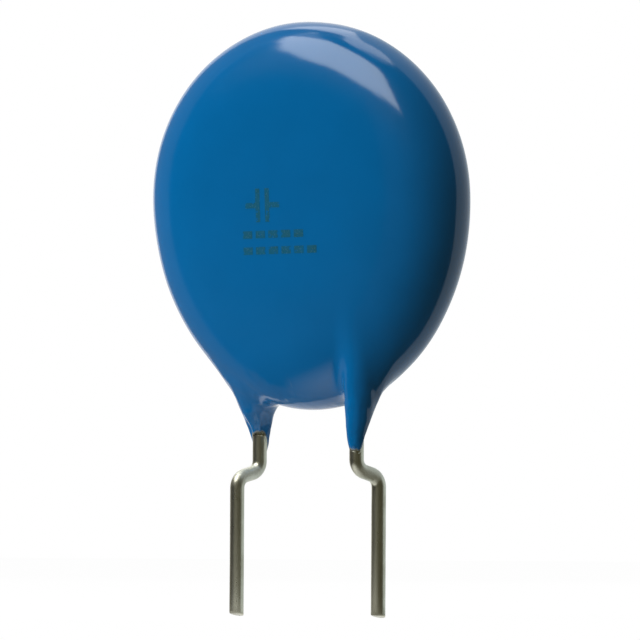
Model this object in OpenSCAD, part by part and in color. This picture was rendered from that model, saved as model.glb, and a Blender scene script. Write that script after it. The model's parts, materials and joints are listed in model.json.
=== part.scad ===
// Ceramic disc capacitor with two crimped wire leads, in millimetres.
// The origin lies midway between the two pins, in the seating plane where the crimps
// rest on a circuit board. X runs along the pair of pins, the disc stands on edge in
// the XZ plane, -Y is its front face and +Z is up. The front lead is the one at +X.

/* [Ceramic disc] */
// Diameter of the ceramic disc
disc_d = 18; // [16:0.2:22]
// Thickness of the ceramic disc
disc_t = 2; // [1.4:0.1:3.6]
// Width of the broken edge round each face of the disc
disc_edge = 0.15; // [0.05:0.05:0.4]

/* [Electrodes] */
// Bare border of ceramic round each electrode
electrode_border = 0.8; // [0.5:0.1:1]
// Thickness of each fired silver electrode
electrode_t = 0.05; // [0.03:0.01:0.1]

/* [Wire leads] */
// Diameter of the tinned wire
wire_d = 0.8; // [0.6:0.05:0.9]
// Distance between the two wires where they leave the coat
wire_spacing = 9.2; // [8:0.1:10]
// Distance between the two pins
pin_pitch = 10; // [9:0.1:12.5]
// Length of each pin below the seating plane
pin_len = 7.1; // [3:0.1:25]
// Slant of the cut across the end of each pin, in degrees
pin_cut = 15; // [0:1:25]
// Radius of the crimp's bends, along the middle of the wire
bend_r = 0.72; // [0.55:0.01:0.8]
// Angle that each of the crimp's bends turns through
bend_angle = 75; // [60:1:80]
// Bare straight wire between the crimp and the end of the coat
bare_len = 0.9; // [0.4:0.1:3]
// Height of the wire's inner end above the middle of the disc
wire_end_rise = 1; // [0.5:0.1:1.2]

/* [Solder joints] */
// Diameter of the mound of solder on each electrode
joint_d = 5.4; // [4.8:0.1:6]
// Solder under the wire, between it and the electrode
joint_film = 0.05; // [0.03:0.01:0.1]
// Solder over the top of the wire
joint_cover = 0.2; // [0.1:0.05:0.3]

/* [Epoxy coat] */
// Coat beyond the rim of the disc, at its sides
side_coat = 1.65; // [1.2:0.05:2.4]
// Coat above the disc
top_coat = 1.5; // [1.2:0.1:2]
// Coat below the disc, where it gathers as it drains
bottom_coat = 2.1; // [1.7:0.1:3]
// Height of the body's widest level above the middle of the disc
widest_rise = 0.66; // [0:0.02:1]
// Coat over the outer side of each wire, where the body is thickest
wire_coat = 1.1; // [0.9:0.05:1.5]
// Crown of each face: 2 is an even dome, and more is flatter with a tighter shoulder
crown = 5; // [4:0.5:7]
// Angle that the dipped body leans to its front
body_lean = 3; // [0:0.5:3]
// Height from the ends of the legs to the bottom of the body
leg_drop = 1.9; // [1.4:0.1:2.6]
// Coat round the wire at the end of each leg
leg_end_coat = 0.06; // [0.04:0.01:0.12]
// Length of each leg from its end to its root inside the body
leg_len = 8; // [7:0.5:9]
// Diameter of each leg at its root
leg_root_d = 2.6; // [2.2:0.1:3.2]
// Coat over the outer side of the wire at each leg's root
leg_root_coat = 0.22; // [0.16:0.02:0.4]
// Reach of the soft flare where a leg runs into the rim of the body
flare = 2; // [1.4:0.1:2.6]
// Share of that reach that is left where a leg runs into a face of the body
face_share = 0.3; // [0.2:0.05:0.5]

/* [Hidden] */

// Colours
coat_blue = [0.01, 0.37, 0.6];
ceramic_tan = [0.72, 0.62, 0.47];
silver_grey = [0.82, 0.82, 0.8];
tin_grey = [0.62, 0.61, 0.57];
solder_grey = [0.55, 0.55, 0.55];

// Faces to a turn on round parts
round_fn = 64;

// Depths along Y, measured from the middle plane of the disc to one face
electrode_y = disc_t/2;
joint_y = electrode_y + electrode_t;
wire_y = joint_y + joint_film + wire_d/2;
body_y = wire_y + wire_d/2 + wire_coat;
leg_root_y = wire_y + wire_d/2 + leg_root_coat - leg_root_d/2;

// The crimp carries each wire sideways from its face to the middle plane
wire_x = wire_spacing/2;
pin_x = pin_pitch/2;
crimp_turn = atan2(wire_y, pin_x - wire_x);
crimp_offset = norm([pin_x - wire_x, wire_y]);
bend_offset = bend_r*(1 - cos(bend_angle));
bend_height = bend_r*sin(bend_angle);
slant_len = (crimp_offset - 2*bend_offset)/sin(bend_angle);

// Wire that the shear takes off the end of each pin
offcut = wire_d;

// Heights above the seating plane
crimp_z = 2*bend_height + slant_len*cos(bend_angle);
coat_z = crimp_z + bare_len;
bottom_z = coat_z + leg_drop;
disc_z = bottom_z + bottom_coat + disc_d/2;
widest_z = disc_z + widest_rise;
wire_end_z = disc_z + wire_end_rise;

// The body's outline is two half ellipses that meet at its widest level
body_r = disc_d/2 + side_coat;
top_r = disc_d/2 + top_coat - widest_rise;
low_r = widest_z - bottom_z;

// Least steepness by which the body's formula is turned into a distance
least_slope = 0.25;

// Shares of the body's thickness between which the flare dies down towards a face
flare_full = 0.35;
flare_least = 0.85;

// The coat is a fan of loops. Each loop lies in a half-plane that turns about one line,
// through the ends of both legs and parallel to Y, from the +X leg over to the -X leg.
fan_r = widest_z - coat_z;
squash = body_r/low_r;
graze_angle = atan(tan(acos(body_r/(fan_r*squash)))/squash);
margin_angle = 10;
fan_start = graze_angle - margin_angle;
fan_stop = graze_angle + 2*margin_angle;
leg_steps = 9;
flare_steps = 20;
body_steps = 11;
loop_points = 48;
search_steps = 18;

// Turns a value that runs from 0 to 1 into one that starts and ends softly
function ease(x) = let (t = min(max(x, 0), 1)) t*t*(3 - 2*t);

// Joins two distances so that their forms flow into each other
function flow(a, b, soft) =
    let (near = max(soft - abs(a - b), 0))
    min(a, b) - near*near/(4*soft);

// Place of a point across the plain body, where -1 is its front face and 1 is its rear face
function body_depth(p) = (p[1] + tan(body_lean)*(p[2] - widest_z))/body_y;

// Distance of a point outside the plain body, a lens with crowned faces
function body_gap(p) =
    let (up = p[2] - widest_z,
         far = norm([p[0]/body_r, up/(up < 0 ? low_r : top_r)]),
         depth = body_depth(p),
         slope = norm([crown*pow(far, crown - 1)/body_r, 2*depth/body_y]))
    (pow(far, crown) + depth*depth - 1)/max(slope, least_slope);

// Distance of a point outside one leg, which widens from the end of the coat and draws in
// towards the middle plane, fast at first and then ever more slowly
function leg_gap(p, side) =
    let (rise = min(max((p[2] - coat_z)/leg_len, 0), 1),
         share = sin(90*rise),
         middle_y = wire_y + share*(leg_root_y - wire_y),
         middle = [side*wire_x, -side*middle_y, coat_z + rise*leg_len],
         foot_r = wire_d/2 + leg_end_coat)
    norm(p - middle) - (foot_r + share*(leg_root_d/2 - foot_r));

function coat_gap(p) =
    let (fade = ease((abs(body_depth(p)) - flare_full)/(flare_least - flare_full)),
         soft = flare*(1 - fade*(1 - face_share)))
    flow(flow(body_gap(p), leg_gap(p, 1), soft), leg_gap(p, -1), soft);

// How far along a ray the coat's surface lies, found by halving the range
function reach(start, ray, low, high, steps) =
    let (mid = (low + high)/2)
    steps == 0 ? mid
    : coat_gap(start + mid*ray) < 0 ? reach(start, ray, mid, high, steps - 1)
    : reach(start, ray, low, mid, steps - 1);

// One loop of the fan, seen from a centre that moves from the leg into the body
function fan_loop(angle) =
    let (turn = min(angle, 180 - angle),
         side = angle < 90 ? 1 : -1,
         inside = ease((turn - graze_angle + margin_angle)/(2*margin_angle)),
         stretch = pow(cos(turn), 2) + pow(squash*sin(turn), 2),
         chord = sqrt(max(body_r*body_r - pow(fan_r*squash*cos(turn), 2)/stretch, 0)/stretch),
         body_centre = fan_r*squash*squash*sin(turn)/stretch,
         out = [cos(angle), 0, sin(angle)],
         centre_r = inside*body_centre + (1 - inside)*wire_x/max(cos(turn), 0.1),
         centre = [0, -side*wire_y*(1 - inside), coat_z] + centre_r*out,
         wide = norm([chord, wire_y]),
         deep = inside*body_y + (1 - inside)*wire_y)
    [for (i = [0:loop_points - 1])
        let (around = 360*i/loop_points,
             aim = wide*cos(around)*out + [0, deep*sin(around), 0],
             ray = aim/norm(aim))
        centre + reach(centre, ray, 0, wide + flare, search_steps)*ray];

quarter_fan = concat(
    [for (i = [0:leg_steps - 1]) fan_start*i/leg_steps],
    [for (i = [0:flare_steps - 1]) fan_start + (fan_stop - fan_start)*i/flare_steps],
    [for (i = [0:body_steps]) fan_stop + (90 - fan_stop)*i/body_steps]);
half_fan = concat(quarter_fan,
    [for (i = [len(quarter_fan) - 2:-1:0]) 180 - quarter_fan[i]]);

// The dipped form as it looks from outside, solid
module dipped_form() {
    loops = [for (angle = half_fan) fan_loop(angle)];
    points = [for (loop = loops) each loop];
    n = loop_points;
    last = (len(loops) - 1)*n;
    skin = [for (row = [0:n:last - n], i = [0:n - 1])
        let (j = (i + 1)%n)
        each [[row + i, row + j, row + n + j], [row + i, row + n + j, row + n + i]]];
    ends = [[for (i = [n - 1:-1:0]) i], [for (i = [0:n - 1]) last + i]];
    polyhedron(points, concat(skin, ends));
}

// A flat round solid on the front face of the disc, from one depth out to another
module on_face(diameter, from_y, to_y) {
    translate([0, -from_y, disc_z]) rotate([90, 0, 0])
        cylinder(d = diameter, h = to_y - from_y, $fn = 2*round_fn);
}

module disc_form() {
    outline = [[0, -disc_t/2], [disc_d/2 - disc_edge, -disc_t/2],
               [disc_d/2, -disc_t/2 + disc_edge], [disc_d/2, disc_t/2 - disc_edge],
               [disc_d/2 - disc_edge, disc_t/2], [0, disc_t/2]];
    translate([0, 0, disc_z]) rotate([90, 0, 0])
        rotate_extrude($fn = 2*round_fn) polygon(outline);
}

module electrode_form() {
    on_face(disc_d - 2*electrode_border, electrode_y, joint_y);
}

// A low mound of solder, the cap of a ball, that covers the end of the front wire
module mound_form() {
    height = joint_film + wire_d + joint_cover;
    ball_r = (joint_d*joint_d/4 + height*height)/(2*height);
    intersection() {
        translate([wire_x, ball_r - height - joint_y, disc_z])
            sphere(r = ball_r, $fn = 4*round_fn);
        translate([wire_x, -joint_y, disc_z]) rotate([90, 0, 0])
            cylinder(d = 2*joint_d, h = 2*height, $fn = round_fn);
    }
}

// The straight stretch of the front wire, from its crimp to its end under the solder
module straight_wire() {
    translate([wire_x, -wire_y, crimp_z]) rotate([0, 0, crimp_turn])
        cylinder(d = wire_d, h = wire_end_z - crimp_z, $fn = round_fn);
}

// One bend of the crimp, a stretch of a ring that stands on edge
module bend(first_angle) {
    rotate([90, 0, 0]) rotate_extrude(angle = bend_angle, start = first_angle, $fn = 2*round_fn)
        translate([bend_r, 0]) circle(d = wire_d, $fn = round_fn);
}

// A straight stretch of wire that hangs down from a bend
module hanging_wire(length) {
    translate([0, 0, -length]) cylinder(d = wire_d, h = length, $fn = round_fn);
}

// The front lead, followed down from the top of its crimp: each bend and each straight
// stretch starts at the end of the one before it.
module lead_form() {
    straight_wire();
    translate([wire_x, -wire_y, crimp_z]) rotate([0, 0, crimp_turn])
        translate([bend_r, 0, 0]) {
            bend(180);
            rotate([0, -bend_angle, 0]) {
                translate([-bend_r, 0, 0]) hanging_wire(slant_len);
                translate([-2*bend_r, 0, -slant_len]) {
                    bend(360 - bend_angle);
                    rotate([0, bend_angle, 0]) translate([bend_r, 0, 0])
                        hanging_wire(pin_len + offcut);
                }
            }
        }
}

// What one stroke of the shear takes off both pins, with a cut that faces the front
module shear_stroke() {
    translate([0, 0, -pin_len]) rotate([-pin_cut, 0, 0])
        translate([-pin_pitch, -2*wire_d, -2*offcut])
            cube([2*pin_pitch, 4*wire_d, 2*offcut]);
}

// Turns what is built for the front face half round, to the rear face
module to_rear() {
    rotate([0, 0, 180]) children();
}

module solder_form() {
    difference() {
        mound_form();
        straight_wire();
    }
}

module epoxy_coating() {
    color(coat_blue) difference() {
        dipped_form();
        disc_form();
        electrode_form();
        mound_form();
        straight_wire();
        to_rear() electrode_form();
        to_rear() mound_form();
        to_rear() straight_wire();
    }
}

module ceramic_disc() {
    color(ceramic_tan) disc_form();
}

module front_electrode() {
    color(silver_grey) electrode_form();
}

module rear_electrode() {
    color(silver_grey) to_rear() electrode_form();
}

module front_lead() {
    color(tin_grey) difference() {
        lead_form();
        shear_stroke();
    }
}

module rear_lead() {
    color(tin_grey) difference() {
        to_rear() lead_form();
        shear_stroke();
    }
}

module front_solder_joint() {
    color(solder_grey) solder_form();
}

module rear_solder_joint() {
    color(solder_grey) to_rear() solder_form();
}

epoxy_coating();
ceramic_disc();
front_electrode();
rear_electrode();
front_lead();
rear_lead();
front_solder_joint();
rear_solder_joint();
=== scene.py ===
import json
import math

import bpy
import numpy as np
from mathutils import Matrix, Vector, noise


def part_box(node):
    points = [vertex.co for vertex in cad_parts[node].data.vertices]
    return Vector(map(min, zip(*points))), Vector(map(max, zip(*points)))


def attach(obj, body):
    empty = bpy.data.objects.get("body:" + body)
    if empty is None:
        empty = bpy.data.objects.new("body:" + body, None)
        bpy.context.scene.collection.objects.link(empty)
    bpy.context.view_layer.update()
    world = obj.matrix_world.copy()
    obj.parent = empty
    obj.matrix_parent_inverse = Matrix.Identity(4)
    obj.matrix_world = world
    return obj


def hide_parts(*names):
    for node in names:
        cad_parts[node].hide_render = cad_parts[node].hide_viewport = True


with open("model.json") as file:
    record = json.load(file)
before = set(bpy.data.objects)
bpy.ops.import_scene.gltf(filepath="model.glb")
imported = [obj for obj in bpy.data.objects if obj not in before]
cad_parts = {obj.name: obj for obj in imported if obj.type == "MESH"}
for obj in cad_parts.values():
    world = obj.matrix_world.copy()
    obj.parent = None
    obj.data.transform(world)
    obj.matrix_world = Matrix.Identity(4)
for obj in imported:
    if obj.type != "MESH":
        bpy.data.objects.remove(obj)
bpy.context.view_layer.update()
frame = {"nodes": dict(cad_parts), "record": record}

# Ceramic disc: the dielectric, a pressed barium titanate puck that is fired until hard. Its
# faces are matt and faintly grainy, and its edge is broken. It lies inside the coat.
MM = 0.001
disc = frame["nodes"]["ceramic_disc"]
disc_low, disc_high = (corner/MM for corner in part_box("ceramic_disc"))
disc_z = (disc_low.z + disc_high.z)/2
ceramic_tan = (0.48, 0.34, 0.19, 1)
ceramic_pale = (0.60, 0.47, 0.30, 1)


def finish_named(name, **plain):
    """A new material, with the sockets that are the same all over set on its shader."""
    made = bpy.data.materials.new(name)
    made.use_nodes = True
    for socket, value in plain.items():
        made.node_tree.nodes["Principled BSDF"].inputs[socket.replace("_", " ")].default_value = value
    return made


def wire_up(material, kind, sockets=None, **settings):
    """Adds a node. A socket is given a number, a colour or the output that feeds it."""
    tree = material.node_tree
    made = tree.nodes.new(kind)
    for name, value in settings.items():
        setattr(made, name, value)
    for socket, value in (sockets or {}).items():
        if isinstance(value, bpy.types.NodeSocket):
            tree.links.new(value, made.inputs[socket])
        else:
            made.inputs[socket].default_value = value
    return made


def grain(material, size_mm, detail, stretch=(1, 1, 1)):
    """A noise in the object's own space. Its patches are about size_mm across."""
    place = wire_up(material, "ShaderNodeTexCoord").outputs["Object"]
    scaled = wire_up(material, "ShaderNodeMapping", {"Vector": place, "Scale": stretch})
    return wire_up(material, "ShaderNodeTexNoise", {
        "Vector": scaled.outputs["Vector"], "Scale": 1/(size_mm*MM), "Detail": detail,
    }).outputs["Fac"]


def spread(material, value, low, high, from_low=0.3, from_high=0.7):
    """Turns the middle of a noise into a range, such as of roughness or of shares."""
    return wire_up(material, "ShaderNodeMapRange", {
        "Value": value, "From Min": from_low, "From Max": from_high, "To Min": low, "To Max": high,
    }).outputs["Result"]


def blended(material, share, first, second):
    """A colour that goes from the first to the second as share goes from 0 to 1."""
    sockets = {0: share, 6: first, 7: second}
    return wire_up(material, "ShaderNodeMix", sockets, data_type="RGBA").outputs[2]


def bumps(material, height, depth_mm, under=None, strength=1.0):
    """A bump of that depth, laid over the bump under it where there is one."""
    sockets = {"Height": height, "Distance": depth_mm*MM, "Strength": strength}
    if under is not None:
        sockets["Normal"] = under
    return wire_up(material, "ShaderNodeBump", sockets).outputs["Normal"]


def sums(material, operation, *values):
    """One sum with two or three values, each a number or an output."""
    return wire_up(material, "ShaderNodeMath", dict(enumerate(values)), operation=operation).outputs[0]


def feed(material, **outputs):
    """Leads the outputs into the shader's sockets."""
    shader = material.node_tree.nodes["Principled BSDF"]
    for socket, output in outputs.items():
        material.node_tree.links.new(output, shader.inputs[socket.replace("_", " ")])


fired_ceramic = finish_named("fired ceramic", Roughness=0.72)
ceramic_grain = grain(fired_ceramic, size_mm=0.12, detail=4)
ceramic_share = spread(fired_ceramic, ceramic_grain, low=0, high=1)
feed(
    fired_ceramic,
    Base_Color=blended(fired_ceramic, ceramic_share, ceramic_tan, ceramic_pale),
    Normal=bumps(fired_ceramic, ceramic_grain, depth_mm=0.01),
)
disc.data.materials[0] = fired_ceramic

# Electrodes: silver paste that is screen printed on both faces of the disc and fired on. The
# film is matt, slightly porous and browned in patches.
silver_clean = (0.80, 0.79, 0.76, 1)
silver_browned = (0.62, 0.58, 0.50, 1)
fired_silver = finish_named("fired silver", Metallic=0.9)
silver_weave = grain(fired_silver, size_mm=0.09, detail=3)
silver_clouds = grain(fired_silver, size_mm=1.6, detail=3)
browned_share = spread(fired_silver, silver_clouds, low=0, high=1)
feed(
    fired_silver,
    Base_Color=blended(fired_silver, browned_share, silver_clean, silver_browned),
    Roughness=spread(fired_silver, silver_weave, low=0.42, high=0.62),
    Normal=bumps(fired_silver, silver_weave, depth_mm=0.004),
)
for name in ("front_electrode", "rear_electrode"):
    frame["nodes"][name].data.materials[0] = fired_silver

# Leads: two hot-tinned copper wires. A forming tool crimps each one from its face of the disc
# to the middle plane, and a shear crops both at a slant. The tin lies in faint ripples along
# the wire, and is rubbed matt and pitted where the forming tool gripped it.
pin = next(m for m in frame["record"]["mounts"] if m["name"] == "front_pin")
wire_r = pin["dims"]["r_mm"]
pin_x = pin["pos_m"][0]/MM
pin_len = pin["dims"]["length_mm"]
pin_cut = math.radians(15)
lead_low, lead_high = (corner/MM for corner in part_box("front_lead"))
wire_x = lead_low.x + wire_r
wire_y = -lead_low.y - wire_r
wire_end_z = lead_high.z
bend_r = 0.72
bend_angle = math.radians(75)
crimp_offset = math.hypot(pin_x - wire_x, wire_y)
slant_len = (crimp_offset - 2*bend_r*(1 - math.cos(bend_angle)))/math.sin(bend_angle)
crimp_z = 2*bend_r*math.sin(bend_angle) + slant_len*math.cos(bend_angle)
wire_sides = 56
wire_rings = {"upper": 120, "bend": 22, "slant": 8, "pin": 70}
last_ring_rise = 0.25
ripple = 0.0025
ripple_round, ripple_along = 1.6, 0.9
rear_ripple_shift = 40
cut_rise = 0.07
cut_edge = 0.045
cut_round = 0.3
sharp_angle = math.radians(50)
grip_fade = 1/6
tin_grey = (0.60, 0.60, 0.49, 1)
tin_dull = (0.41, 0.40, 0.30, 1)
tin_rubbed = (0.74, 0.75, 0.64, 1)
rubbed_matt = 0.5
rubbed_roughness = 0.18


def ease(x):
    """A smooth rise from 0 to 1 as x goes from 0 to 1."""
    t = np.clip(x, 0, 1)
    return t*t*(3 - 2*t)


def crimped_route():
    """Places and headings down the middle of the wire, as (along the crimp, up) pairs."""
    upper_z = np.linspace(wire_end_z, crimp_z, wire_rings["upper"], endpoint=False)
    route = [((0, z), (0, -1)) for z in upper_z]
    turns = np.linspace(0, bend_angle, wire_rings["bend"])
    for turn in turns:
        place = (bend_r*(1 - math.cos(turn)), crimp_z - bend_r*math.sin(turn))
        route.append((place, (math.sin(turn), -math.cos(turn))))
    slant = (math.sin(bend_angle), -math.cos(bend_angle))
    for run in np.linspace(0, slant_len, wire_rings["slant"])[1:-1]:
        route.append(((place[0] + run*slant[0], place[1] + run*slant[1]), slant))
    for turn in turns[::-1]:
        low = (crimp_offset - bend_r*(1 - math.cos(turn)), bend_r*math.sin(turn))
        route.append((low, (math.sin(turn), -math.cos(turn))))
    drops = np.linspace(0, pin_len - last_ring_rise, wire_rings["pin"])
    return route + [((crimp_offset, -drop), (0, -1)) for drop in drops[1:]]


def new_piece(name, points, faces, material):
    """A smooth mesh object in metres from points in millimetres."""
    mesh = bpy.data.meshes.new(name)
    mesh.from_pydata([tuple(p) for p in np.asarray(points)*MM], [], faces)
    mesh.validate()
    mesh.materials.append(material)
    mesh.shade_smooth()
    made = bpy.data.objects.new(name, mesh)
    bpy.context.scene.collection.objects.link(made)
    return made


def skin(rows, sides):
    """Quads between rings of points, and one flat face over each end."""
    faces = []
    for row in range(rows - 1):
        for i in range(sides):
            j = (i + 1) % sides
            faces.append((row*sides + j, row*sides + i, (row + 1)*sides + i, (row + 1)*sides + j))
    last = (rows - 1)*sides
    return faces + [tuple(range(sides)), tuple(range(last + sides - 1, last - 1, -1))]


def lead(name, half_turn):
    """The front lead, or the same lead turned half round for the rear."""
    side = -1 if half_turn else 1
    along = np.array((pin_x - wire_x, wire_y, 0))/crimp_offset*side
    across = np.array((-along[1], along[0], 0))
    start = np.array((wire_x, -wire_y, 0))*side
    up = np.array((0, 0, 1))
    turns = 2*math.pi*np.arange(wire_sides)/wire_sides
    cos, sin = np.cos(turns)[:, None], np.sin(turns)[:, None]
    rings, gripped = [], []
    for (run, z), (head_x, head_z) in crimped_route():
        gripped.append(ease(min(run, crimp_offset - run)/crimp_offset/grip_fade))
        middle = start + run*along + z*up
        rays = cos*(head_x*up - head_z*along) + sin*across
        level = middle[2]*ripple_along + rear_ripple_shift*half_turn
        waves = [noise.noise((x*ripple_round, y*ripple_round, level)) for x, y, _ in rays]
        rings.append(middle + (wire_r + ripple*np.array(waves)[:, None])*rays)
    axis = start + crimp_offset*along
    rays = cos*along + sin*across
    for reach, rise in (
        (wire_r, cut_rise),
        (wire_r, cut_edge),
        (wire_r - cut_round*cut_edge, cut_round*cut_edge),
        (wire_r - cut_edge, 0),
    ):
        cut_z = rise - pin_len - math.tan(pin_cut)*rays[:, 1:2]*reach
        rings.append(axis + reach*rays + cut_z*up)
        gripped.append(0)
    made = new_piece(name, np.concatenate(rings), skin(len(rings), wire_sides), tinned_wire)
    made.data.set_sharp_from_angle(angle=sharp_angle)
    worn = np.repeat(gripped, wire_sides).astype(np.float32)
    made.data.attributes.new("gripped", "FLOAT", "POINT").data.foreach_set("value", worn)
    return made


tinned_wire = finish_named("hot tinned wire")
tin_runs = grain(tinned_wire, size_mm=0.3, detail=2, stretch=(1, 1, 0.08))
tin_pits = grain(tinned_wire, size_mm=0.11, detail=4)
tin_clouds = grain(tinned_wire, size_mm=0.5, detail=3, stretch=(1, 1, 0.35))
grip = wire_up(tinned_wire, "ShaderNodeAttribute", attribute_name="gripped").outputs["Fac"]
rubbed = sums(tinned_wire, "MULTIPLY", grip, spread(tinned_wire, tin_pits, low=0.55, high=1))
dull_share = spread(tinned_wire, tin_clouds, low=0, high=1)
plain_roughness = spread(tinned_wire, tin_clouds, low=0.26, high=0.36)
pit_strength = spread(tinned_wire, grip, low=0.12, high=1, from_low=0, from_high=1)
drawn = bumps(tinned_wire, tin_runs, depth_mm=0.006)
feed(
    tinned_wire,
    Base_Color=blended(
        tinned_wire, rubbed, blended(tinned_wire, dull_share, tin_grey, tin_dull), tin_rubbed),
    Metallic=sums(tinned_wire, "MULTIPLY_ADD", rubbed, -rubbed_matt, 1.0),
    Roughness=sums(tinned_wire, "MULTIPLY_ADD", rubbed, rubbed_roughness, plain_roughness),
    Normal=bumps(tinned_wire, tin_pits, depth_mm=0.007, under=drawn, strength=pit_strength),
)
leads = {
    "front_lead": lead("front_crimped_lead", False),
    "rear_lead": lead("rear_crimped_lead", True),
}
for node_name, piece in leads.items():
    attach(piece, "root")
    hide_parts(node_name)

# Solder joints: a satin mound of solder that wets the electrode and covers the end of each
# wire. It is dulled by flux and faintly rippled where it froze.
solder_bright = (0.62, 0.61, 0.59, 1)
solder_dull = (0.42, 0.41, 0.39, 1)
frozen_solder = finish_named("frozen solder", Metallic=1.0)
solder_ripples = grain(frozen_solder, size_mm=0.5, detail=3)
flux_share = spread(frozen_solder, solder_ripples, low=0, high=1)
feed(
    frozen_solder,
    Base_Color=blended(frozen_solder, flux_share, solder_bright, solder_dull),
    Roughness=spread(frozen_solder, solder_ripples, low=0.28, high=0.46),
    Normal=bumps(frozen_solder, solder_ripples, depth_mm=0.01),
)
for name in ("front_solder_joint", "rear_solder_joint"):
    frame["nodes"][name].data.materials[0] = frozen_solder

# Coat: blue epoxy that the soldered disc is dipped in, cured to a semi-gloss. It is a lens with
# crowned faces that leans a little to its front, and it drains into a leg on each wire. A leg
# ends in a ragged, see-through edge, highest on the side that faces the disc's middle plane.
side_coat = 1.65
top_coat = 1.5
widest_rise = 0.66
wire_coat = 1.1
crown = 5
body_lean = math.radians(3)
bare_len = 0.9
leg_drop = 1.9
leg_end_coat = 0.12
leg_len = 8
leg_root_r = 1.3
leg_root_coat = 0.22
flare = 1.8
face_share = 0.3
flare_full = 0.35
flare_least = 0.85
least_slope = 0.25
disc_r = (disc_high.x - disc_low.x)/2
body_r = disc_r + side_coat
body_y = wire_y + wire_r + wire_coat
coat_z = crimp_z + bare_len
widest_z = disc_z + widest_rise
top_r = disc_r + top_coat - widest_rise
low_r = widest_z - coat_z - leg_drop
leg_root_y = wire_y + wire_r + leg_root_coat - leg_root_r
thin_side = math.radians(110)
thin_spread, thin_shift = 1.35, 0.15
thin_rise = 0.55
full_drop = 0.5
edge_ragged = 0.14
edge_waves = ((3, 1.0, 1.0), (7, 0.6, 2.2), (13, 0.35, 0.4))
edge_taper, thin_taper = 0.38, 2.5
edge_start = 0.02
film_least = 0.008
film_opaque = 0.045
coat_sway = 0.02
sway_scale = 0.35
sway_from, sway_over = 3, 4
leg_lumps = 0.045
lump_round, lump_along, lump_shift = 1.5, 1.1, 7
fine_round, fine_along, fine_share = 3.4, 2.4, 0.4
lumps_full, lumps_gone = 2.0, 4.5
lumps_coat = 0.1
graze_margin = math.radians(10)
leg_loops, join_loops, body_loops = 44, 64, 56
loop_points = 240
halvings = 26
coat_blue = (0.0003, 0.110, 0.306, 1)
coat_blue_deep = (0.0002, 0.104, 0.288, 1)


def flow(a, b, soft):
    """Joins two distances so that their forms run into each other."""
    near = np.maximum(soft - np.abs(a - b), 0)
    return np.minimum(a, b) - near*near/(4*soft)


def body_depth(p):
    """Place across the plain body, where -1 is its front face and 1 is its rear face."""
    return (p[..., 1] + math.tan(body_lean)*(p[..., 2] - widest_z))/body_y


def body_gap(p):
    """Distance outside the plain body, a lens with crowned faces."""
    up = p[..., 2] - widest_z
    far = np.hypot(p[..., 0]/body_r, up/np.where(up < 0, low_r, top_r))
    depth = body_depth(p)
    slope = np.hypot(crown*far**(crown - 1)/body_r, 2*depth/body_y)
    return (far**crown + depth*depth - 1)/np.maximum(slope, least_slope)


def leg_gap(p, side):
    """Distance outside one leg, which widens from its end and draws in to the middle plane."""
    rise = np.clip((p[..., 2] - coat_z)/leg_len, 0, 1)
    share = np.sin(math.pi/2*rise)
    middle_y = wire_y + share*(leg_root_y - wire_y)
    over = np.maximum(p[..., 2] - coat_z - leg_len, 0)
    away = (p[..., 0] - side*wire_x, p[..., 1] + side*middle_y, over)
    end_r = wire_r + leg_end_coat
    return np.sqrt(sum(part*part for part in away)) - (end_r + share*(leg_root_r - end_r))


def coat_gap(p):
    """Distance outside the coat. Its join is soft round the rim and tight on the faces."""
    fade = ease((np.abs(body_depth(p)) - flare_full)/(flare_least - flare_full))
    soft = flare*(1 - fade*(1 - face_share))
    return flow(flow(body_gap(p), leg_gap(p, 1), soft), leg_gap(p, -1), soft)


def ragged_end(around):
    """Height of the film's edge above the coat's end, all round one wire, and its thinness."""
    thinness = ease((1 + np.cos(around - thin_side))/2*thin_spread - thin_shift)
    waves = sum(high*np.sin(count*around + start) for count, high, start in edge_waves)
    ragged = edge_ragged*waves/(2*sum(high for _, high, _ in edge_waves))
    return (thin_rise + full_drop)*thinness - full_drop + ragged, thinness


def lump(x, y, z):
    """How far the skin of a leg swells at a place, between about -1 and 1."""
    broad = noise.noise((x*lump_round, y*lump_round, z*lump_along + lump_shift))
    return broad + fine_share*noise.noise((x*fine_round, y*fine_round, z*fine_along))


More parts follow.
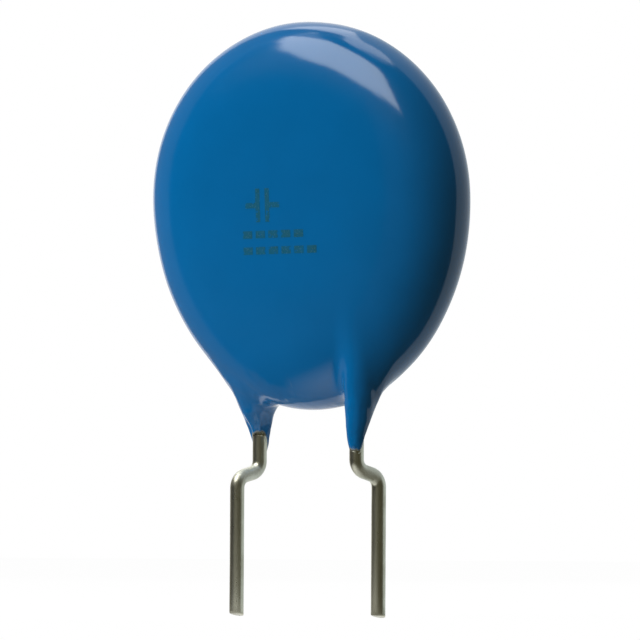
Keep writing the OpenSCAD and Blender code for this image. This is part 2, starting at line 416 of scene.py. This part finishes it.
def dipped_skin():
    """Points of the coat's outer skin and the film's thickness there, row by row.

    Each row is a loop in a half-plane that turns about one line, through the ends of both
    legs and parallel to Y, from the +X leg over the body to the -X leg.
    """
    fan_r = widest_z - coat_z
    squash = body_r/low_r
    graze = math.atan(math.tan(math.acos(body_r/(fan_r*squash)))/squash)
    # The loops lie closest together round the turn where the half-plane first meets the body.
    first, second = graze - graze_margin, graze + 2*graze_margin
    quarter = np.concatenate([
        np.linspace(0, first, leg_loops, endpoint=False),
        np.linspace(first, second, join_loops, endpoint=False),
        np.linspace(second, math.pi/2, body_loops),
    ])
    turn = np.concatenate([quarter, quarter[-2::-1]])[:, None]
    side = np.concatenate([np.ones(len(quarter)), -np.ones(len(quarter) - 1)])[:, None]
    around = (2*math.pi*np.arange(loop_points)/loop_points)[None, :]
    end_rise, thinness = ragged_end(around*side)
    start = np.arctan(end_rise/wire_x)
    turn = np.where(turn < first, start + turn*(1 - start/first), turn)
    angle = np.where(side > 0, turn, math.pi - turn)
    inside = ease((turn - graze + graze_margin)/(2*graze_margin))
    stretch = np.cos(turn)**2 + (squash*np.sin(turn))**2
    chord = np.sqrt(np.maximum(body_r**2 - (fan_r*squash*np.cos(turn))**2/stretch, 0)/stretch)
    out = np.stack([np.cos(angle), np.zeros_like(angle), np.sin(angle)], -1)
    body_middle = fan_r*squash**2*np.sin(turn)/stretch
    # Past the join the wire's place no longer counts, so its turn is held there.
    leg_middle = wire_x/np.cos(np.minimum(turn, graze + graze_margin))
    middle_r = inside*body_middle + (1 - inside)*leg_middle
    middle = middle_r[..., None]*out
    middle[..., 1] -= side*wire_y*(1 - inside)
    middle[..., 2] += coat_z
    # Rays go out from each loop's middle, which shifts from the wire to inside the body.
    wide = np.hypot(chord, wire_y)
    deep = inside*body_y + (1 - inside)*wire_y
    aim = (wide*np.cos(around))[..., None]*out
    aim[..., 1] += deep*np.sin(around)
    ray = aim/np.linalg.norm(aim, axis=-1, keepdims=True)
    low, high = np.zeros_like(wide), wide + flare
    for _ in range(halvings):
        half = (low + high)/2
        within = coat_gap(middle + half[..., None]*ray) < 0
        low, high = np.where(within, half, low), np.where(within, high, half)
    points = middle + low[..., None]*ray

    # Near its end the film thins out to almost nothing on the wire. The legs get their lumps.
    height = points[..., 2] - coat_z - end_rise
    offset = points[..., :2] - np.stack([side*wire_x, -side*wire_y], -1)
    from_wire = np.linalg.norm(offset, axis=-1)
    film = from_wire - wire_r
    taper = edge_taper*(1 + thin_taper*thinness)
    thick = film_least + (film - film_least)*ease(height/taper + edge_start)
    by_leg = height < lumps_gone
    lumps = np.zeros_like(film)
    lumps[by_leg] = [lump(*point) for point in points[by_leg]]
    fade = 1 - ease((height - lumps_full)/(lumps_gone - lumps_full))
    thick = np.maximum(thick + leg_lumps*lumps*fade*ease(thick/lumps_coat), film_least)
    points[..., :2] += np.where(by_leg, (thick - film)/from_wire, 0)[..., None]*offset
    return points, np.where(by_leg, thick, 1)


def swayed(points):
    """Moves points of the body in or out a little, because a dipped skin is never quite even."""
    sway = np.array([noise.noise(Vector(point)*sway_scale) for point in points])
    outward = points - np.array((0, 0, disc_z))
    share = ease((points[:, 2] - coat_z - sway_from)/sway_over)*coat_sway*sway
    return points + (share/np.linalg.norm(outward, axis=1))[:, None]*outward


epoxy = finish_named("blue epoxy", IOR=1.5)
film_share = wire_up(epoxy, "ShaderNodeAttribute", attribute_name="film").outputs["Fac"]
opaque = spread(epoxy, film_share, low=0, high=1, from_low=0, from_high=1)
pigment = grain(epoxy, size_mm=3.0, detail=3)
peel = grain(epoxy, size_mm=1.2, detail=1)
pores = grain(epoxy, size_mm=0.1, detail=3)
dull_under = spread(epoxy, grain(epoxy, size_mm=0.8, detail=3), low=0, high=1)
tin_under = blended(epoxy, dull_under, tin_grey, tin_dull)
blue = blended(epoxy, spread(epoxy, pigment, low=0, high=1), coat_blue, coat_blue_deep)
feed(
    epoxy,
    Base_Color=blended(epoxy, opaque, tin_under, blue),
    Metallic=sums(epoxy, "SUBTRACT", 1.0, opaque),
    Roughness=spread(epoxy, pores, low=0.11, high=0.16),
    Normal=bumps(epoxy, pores, depth_mm=0.0004, under=bumps(epoxy, peel, depth_mm=0.004)),
)
coat_points, film = dipped_skin()
outward_faces = [face[::-1] for face in skin(len(coat_points), loop_points)]
coat = new_piece("dipped_epoxy_coat", swayed(coat_points.reshape(-1, 3)), outward_faces, epoxy)
film_values = ease((film.reshape(-1) - film_least)/film_opaque).astype(np.float32)
coat.data.attributes.new("film", "FLOAT", "POINT").data.foreach_set("value", film_values)
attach(coat, "root")
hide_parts("epoxy_coating")

# Mark: what is stamped on the cured front face in thin dark ink, here a plain capacitor symbol
# over two rows of short bars. The stamp prints unevenly, so the ink has gaps and worn edges.
mark_middle = (0.25, 14.6)
mark_cell = 0.06
symbol_x, symbol_z = -1.2, 1.0
symbol_line = 0.3
plate_half, plate_gap = 0.95, 0.3
wire_run = 0.9
bar_rows = ((-0.65, 5), (-1.55, 6))
bar_start, bar_pitch = -2.65, 0.9
bar_len, bar_half = 0.66, 0.21
ink_thick = 0.008
ink_sunk = 0.02
ink_scale, ink_layer = 0.35, 3.0
ink_least = -0.38
ink_dark = (0.010, 0.085, 0.125, 1)
ink_faded = (0.004, 0.096, 0.185, 1)


def mark_strokes():
    """Boxes of the mark as (low x, low z, high x, high z), from its middle."""
    half = symbol_line/2
    left, right = symbol_x - plate_gap, symbol_x + plate_gap
    strokes = [
        (left - half, symbol_z - plate_half, left + half, symbol_z + plate_half),
        (right - half, symbol_z - plate_half, right + half, symbol_z + plate_half),
        (left - wire_run, symbol_z - half, left, symbol_z + half),
        (right, symbol_z - half, right + wire_run, symbol_z + half),
    ]
    for row_z, bars in bar_rows:
        for i in range(bars):
            start = bar_start + bar_pitch*i
            strokes.append((start, row_z - bar_half, start + bar_len, row_z + bar_half))
    return strokes


def stamped_ink():
    """A thin sheet of ink on the coat's front face, with cells left out where it didn't take."""
    points, faces, known = [], [], {}

    def corner(i, j, top):
        """Number of the point at a cell's corner, which is made when it is first needed."""
        if (i, j, top) not in known:
            x, z = mark_middle[0] + i*mark_cell, mark_middle[1] + j*mark_cell
            up = z - widest_z
            far = math.hypot(x/body_r, up/(low_r if up < 0 else top_r))
            y = -body_y*math.sqrt(1 - far**crown) - math.tan(body_lean)*up
            shift = (0, -ink_thick if top else ink_sunk, 0)
            known[i, j, top] = len(points)
            points.append(swayed(np.array([(x, y, z)]))[0] + shift)
        return known[i, j, top]

    inked = set()
    for low_x, low_z, high_x, high_z in mark_strokes():
        for i in range(round(low_x/mark_cell), round(high_x/mark_cell)):
            for j in range(round(low_z/mark_cell), round(high_z/mark_cell)):
                if noise.noise((i*ink_scale, j*ink_scale, ink_layer)) > ink_least:
                    inked.add((i, j))
    for i, j in sorted(inked):
        quad = ((i, j), (i + 1, j), (i + 1, j + 1), (i, j + 1))
        faces.append([corner(*c, True) for c in quad])
        faces.append([corner(*c, False) for c in quad[::-1]])
        beside = ((i, j - 1), (i + 1, j), (i, j + 1), (i - 1, j))
        for k, cell in enumerate(beside):
            if cell not in inked:
                first, second = quad[k], quad[(k + 1) % 4]
                faces.append([
                    corner(*second, True), corner(*first, True),
                    corner(*first, False), corner(*second, False)])
    return points, faces


stamp_ink = finish_named("stamp ink", IOR=1.45)
faded_share = spread(stamp_ink, grain(stamp_ink, size_mm=0.5, detail=3), low=0, high=1)
ink_pores = grain(stamp_ink, size_mm=0.1, detail=3)
feed(
    stamp_ink,
    Base_Color=blended(stamp_ink, faded_share, ink_dark, ink_faded),
    Roughness=spread(stamp_ink, ink_pores, low=0.2, high=0.3),
)
mark = new_piece("stamped_mark", *stamped_ink(), stamp_ink)
mark.data.shade_flat()
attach(mark, "root")

# Studio: a white floor at the tips of the pins, a white surround, a softbox high in front, one
# more overhead, and lamps that fill from low down and from the rear. Cloth on the floor and
# round the sides, open for the softbox and pale near the pins, keeps the white out of the gloss.
floor_half = 3.0
floor_bounce = (0.70, 0.70, 0.70, 1)
floor_white = (0.98, 0.98, 0.98, 1)
floor_lift = 0.985
room_light = (0.12, 0.12, 0.12, 1)
patch_x, patch_y = -1, -9
patch_white, patch_end = 4, 13
cloth_r = 190
floor_reaches = (0.5, 30, 60, 120, cloth_r)
cloth_lift = 0.15
cloth_left, cloth_step = -110, 3
cloth_foot, cloth_top, cloth_rise = -5, 77, 2
opening_left, opening_right = -44, 18
opening_low, opening_high = 31, 65
left_rise, left_slant = 35, 1.77
low_slant = 0.06
cloths = {
    "warm": (-70, (0.20, 0.19, 0.17, 1)),
    "black": (-14, (0.02, 0.02, 0.02, 1)),
    "olive": (115, (0.09, 0.085, 0.055, 1)),
    "grey": (211, (0.67, 0.73, 0.76, 1)),
}


def bearing(azimuth, elevation=0):
    """The way to a point at those degrees, where azimuth 0 is in front and 90 is at +X."""
    turn, rise = math.radians(azimuth), math.radians(elevation)
    return Vector((math.sin(turn)*math.cos(rise), -math.cos(turn)*math.cos(rise), math.sin(rise)))


def white_rays(tree_owner):
    """1 for the rays that see the white background: straight, mirrored or let through."""
    rays = wire_up(tree_owner, "ShaderNodeLightPath").outputs
    mirrored = sums(tree_owner, "MAXIMUM", rays["Is Glossy Ray"], rays["Is Transmission Ray"])
    return sums(tree_owner, "MAXIMUM", rays["Is Camera Ray"], mirrored)


def empty_finish(name):
    """A new material with no shader yet."""
    made = bpy.data.materials.new(name)
    made.use_nodes = True
    made.node_tree.nodes.clear()
    return made


lowest = min(lead_low.z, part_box("rear_lead")[0].z/MM)
floor_finish = empty_finish("studio floor")
seen = white_rays(floor_finish)
floor_colour = blended(floor_finish, seen, floor_bounce, floor_white)
plain = wire_up(floor_finish, "ShaderNodeBsdfDiffuse", {"Color": floor_colour})
lit = wire_up(floor_finish, "ShaderNodeEmission", {"Color": (1, 1, 1, 1), "Strength": 1.0})
surface = wire_up(floor_finish, "ShaderNodeMixShader", {
    0: sums(floor_finish, "MULTIPLY", seen, floor_lift), 1: plain.outputs[0], 2: lit.outputs[0]})
wire_up(floor_finish, "ShaderNodeOutputMaterial", {"Surface": surface.outputs[0]})
floor = new_piece("floor", [
    (x/MM, y/MM, lowest) for x, y in (
        (-floor_half, -floor_half), (floor_half, -floor_half),
        (floor_half, floor_half), (-floor_half, floor_half))
], [(0, 1, 2, 3)], floor_finish)

world = bpy.data.worlds.new("studio surround")
bpy.context.scene.world = world
world.use_nodes = True
world.node_tree.nodes.clear()
sky = wire_up(world, "ShaderNodeBackground", {
    "Color": blended(world, white_rays(world), room_light, (1, 1, 1, 1)), "Strength": 1.0})
wire_up(world, "ShaderNodeOutputWorld", {"Surface": sky.outputs[0]})

cloth_end = max(until for until, _ in cloths.values())
azimuths = list(range(cloth_left, cloth_end + 1, cloth_step))
profile = [(reach, lowest + cloth_lift) for reach in floor_reaches]
for rise in map(math.radians, range(cloth_foot, cloth_top + 1, cloth_rise)):
    profile.append((cloth_r*math.cos(rise), disc_z + cloth_r*math.sin(rise)))
cloth_points = [
    (reach*math.sin(turn), -reach*math.cos(turn), z)
    for turn in map(math.radians, azimuths) for reach, z in profile]
cloth_faces = {shade: [] for shade in cloths}
for i, azimuth in enumerate(azimuths[:-1]):
    shade = next(name for name, (until, _) in cloths.items() if azimuth < until)
    for j, (reach, z) in enumerate(profile[:-1]):
        rise = math.degrees(math.atan2(z - disc_z, reach))
        beside = opening_left - left_slant*(rise - left_rise) < azimuth < opening_right
        if beside and opening_low + low_slant*azimuth <= rise < opening_high:
            continue
        row, after = i*len(profile) + j, (i + 1)*len(profile) + j
        cloth_faces[shade].append((row, after, after + 1, row + 1))
for shade, (_, glow) in cloths.items():
    finish = empty_finish(shade + " cloth")
    place = wire_up(finish, "ShaderNodeTexCoord").outputs["Object"]
    level = wire_up(finish, "ShaderNodeVectorMath", {
        0: place, 1: (1, 1, 0), 2: (-patch_x*MM, -patch_y*MM, 0)}, operation="MULTIPLY_ADD").outputs[0]
    reach = wire_up(finish, "ShaderNodeVectorMath", {0: level}, operation="LENGTH").outputs["Value"]
    inward = spread(finish, reach, low=1, high=0, from_low=patch_white*MM, from_high=patch_end*MM)
    glimmer = wire_up(finish, "ShaderNodeEmission", {
        "Color": blended(finish, inward, glow, (1, 1, 1, 1)), "Strength": 1.0})
    wire_up(finish, "ShaderNodeOutputMaterial", {"Surface": glimmer.outputs[0]})
    finish.cycles.emission_sampling = "NONE"
    cloth = new_piece("studio_cloth_" + shade, cloth_points, cloth_faces[shade], finish)
    cloth.visible_camera = False
    # The olive cloth alone also keeps the surround's light off matt surfaces.
    cloth.visible_diffuse = shade == "olive"
    cloth.visible_shadow = False
    cloth.visible_transmission = False


def soft_lamp(name, azimuth, elevation, away_mm, wide_mm, high_mm, radiance, in_gloss):
    """A rectangular lamp that faces the disc, with the same radiance all over."""
    way = bearing(azimuth, elevation)
    data = bpy.data.lights.new(name, "AREA")
    data.shape = "RECTANGLE"
    data.size, data.size_y = wide_mm*MM, high_mm*MM
    data.energy = radiance*math.pi*data.size*data.size_y
    data.cycles.use_multiple_importance_sampling = in_gloss
    lamp = bpy.data.objects.new(name, data)
    lamp.rotation_mode = "QUATERNION"
    lamp.rotation_quaternion = way.to_track_quat("Z", "Y")
    lamp.location = Vector((0, 0, disc_z*MM)) + way*away_mm*MM
    lamp.visible_camera = False
    lamp.visible_glossy = in_gloss
    bpy.context.scene.collection.objects.link(lamp)


soft_lamp("front softbox", -22, 44, away_mm=300, wide_mm=380, high_mm=240, radiance=4.0, in_gloss=True)
soft_lamp("overhead softbox", 218, 74, away_mm=200, wide_mm=160, high_mm=160, radiance=1.9, in_gloss=True)
soft_lamp("left fill", -40, -12, away_mm=95, wide_mm=110, high_mm=6, radiance=16.0, in_gloss=False)
soft_lamp("rear fill", 200, 30, away_mm=400, wide_mm=260, high_mm=260, radiance=3.0, in_gloss=False)

# Camera: a long lens at the photograph's bearing. It stands level with the pins and looks up a
# little, with the same small roll as the photograph.
camera_azimuth = 38
camera_elevation = -2.5
camera_roll = math.radians(0.34)
camera_range = 300
lens = 302.9
aim_height = 13
aim_right, aim_up = 0.629, -3.68
right = bearing(camera_azimuth + 90)
back = bearing(camera_azimuth, camera_elevation)
upright = back.cross(right)
roll = Matrix.Rotation(camera_roll, 3, back)
right, upright = roll @ right, roll @ upright
aim = Vector((0, 0, aim_height)) + aim_right*right + aim_up*upright
camera_data = bpy.data.cameras.new("camera")
camera_data.sensor_width = 36
camera_data.lens = lens
camera_data.clip_start, camera_data.clip_end = 0.01, 20
camera = bpy.data.objects.new("camera", camera_data)
camera.matrix_world = Matrix.Translation((aim + camera_range*back)*MM) @ Matrix(
    (right, upright, back)).transposed().to_4x4()
bpy.context.scene.collection.objects.link(camera)
bpy.context.scene.camera = camera
bpy.context.scene.view_settings.view_transform = "Standard"
